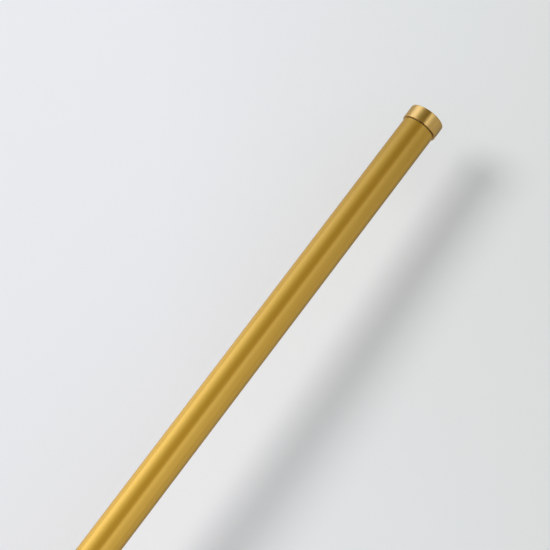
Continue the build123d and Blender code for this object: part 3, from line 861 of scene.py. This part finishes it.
def make_world():
    """An even pale room for diffuse light. Metal reflects a studio instead: a bright strip on the
    left, a dark ceiling over the camera and a pale wall on the right."""
    world = bpy.data.worlds.new("studio")
    bpy.context.scene.world = world
    world.use_nodes = True
    g = Graph(world.node_tree)
    direction = g.add("TexCoord").outputs["Generated"]
    split = g.add("SeparateXYZ", Vector=direction)
    x, y, z = [split.outputs[k] for k in range(3)]
    # round the wand: 0 is underneath and 0.5 overhead, rising towards +Y
    turn = g.math("DIVIDE", g.math("ARCTAN2", y, z), 2 * math.pi)
    studio = g.ramp(g.math("ADD", turn, 0.5), [(0.5 + angle / 360, colour) for angle, colour in STUDIO])
    studio = g.dim(studio, studio_gain(g, x, y, studio))
    glossy = g.add("LightPath").outputs["Is Glossy Ray"]
    colour = g.mix(glossy, ROOM_COLOUR, studio)
    strength = g.math("MULTIPLY_ADD", glossy, 1.0 - AMBIENT, AMBIENT)
    background = g.add("Background", Color=colour, Strength=strength)
    g.add("OutputWorld", Surface=background.outputs[0])


def make_key():
    """A round soft light that lays the wand's shadow on the floor. The metals don't mirror it."""
    data = bpy.data.lights.new("key", "AREA")
    data.shape = "DISK"
    data.size = KEY_SIZE
    data.energy = KEY_WATTS
    data.color = KEY_COLOUR
    key = bpy.data.objects.new("key", data)
    bpy.context.scene.collection.objects.link(key)
    key.location = CAMERA_AIM + KEY_DIRECTION * KEY_DISTANCE
    key.rotation_euler = KEY_DIRECTION.to_track_quat("Z", "Y").to_euler()
    key.visible_glossy = False


def make_camera():
    """The camera stands back from its aim. At azimuth 0 it looks towards +Y."""
    azimuth, elevation = math.radians(CAMERA_AZIMUTH), math.radians(CAMERA_ELEVATION)
    level = math.cos(elevation)
    back = Vector((math.sin(azimuth) * level, -math.cos(azimuth) * level, math.sin(elevation)))
    data = bpy.data.cameras.new("camera")
    data.lens = CAMERA_LENS
    data.sensor_width = CAMERA_SENSOR
    data.clip_start = CAMERA_NEAREST
    camera = bpy.data.objects.new("camera", data)
    bpy.context.scene.collection.objects.link(camera)
    camera.location = CAMERA_AIM + back * CAMERA_DISTANCE
    camera.rotation_euler = (math.pi / 2 - elevation, 0, azimuth)
    bpy.context.scene.camera = camera


brass = turned_metal("turned_brass", (0.93, 0.63, 0.21), (0.84, 0.53, 0.15))
bush_brass = turned_metal("bush_brass", (0.90, 0.62, 0.24), (0.74, 0.47, 0.15))
bearing_steel = turned_metal("bearing_steel", (0.72, 0.73, 0.75), (0.58, 0.59, 0.62))
spindle_steel = turned_metal("spindle_steel", (0.66, 0.66, 0.68), (0.50, 0.50, 0.52))
ball_steel = plated("ball_steel", (0.78, 0.78, 0.80), (0.66, 0.66, 0.69), 0.11)
nickel = plated("nickel_plate", (0.76, 0.73, 0.67), (0.62, 0.59, 0.53))
ring_steel = plated("ring_steel", (0.70, 0.70, 0.71), (0.52, 0.52, 0.54), 0.2)
spring_steel = plated("spring_steel", (0.55, 0.55, 0.57), (0.36, 0.35, 0.35), 0.22)
rubber = moulded("washer_rubber", (0.035, 0.030, 0.022), (0.02, 0.018, 0.014), 0.5)
nylon = moulded("cage_nylon", (0.76, 0.72, 0.60), (0.66, 0.62, 0.50), 0.35, 0.3)
black_plastic = moulded("plug_plastic", (0.05, 0.05, 0.055), (0.03, 0.03, 0.032), 0.4)

paint(gold_anodised(), "shaft_tube")
paint(brass, "butt_cap", "tip_ferrule")
paint(rubber, "cap_washer")
paint(bush_brass, "butt_bush")
paint(sintered_bronze(), "tip_bush")
paint(bearing_steel, "bearing_cup", "swivel_nut")
paint(ball_steel, "bearing_balls")
paint(nylon, "ball_cage")
paint(black_plastic, "cavity_plug")
paint(spindle_steel, "swivel_spindle", "clasp_gate_pin")
paint(nickel, "clasp_body", "clasp_eye", "clasp_gate")
paint(ring_steel, "split_ring")
paint(spring_steel, "clasp_spring")
make_ribbon(satin())
make_strap(webbing())
make_stitches(thread())
make_floor()
make_world()
make_key()
make_camera()
bpy.context.scene.view_settings.view_transform = "Standard"
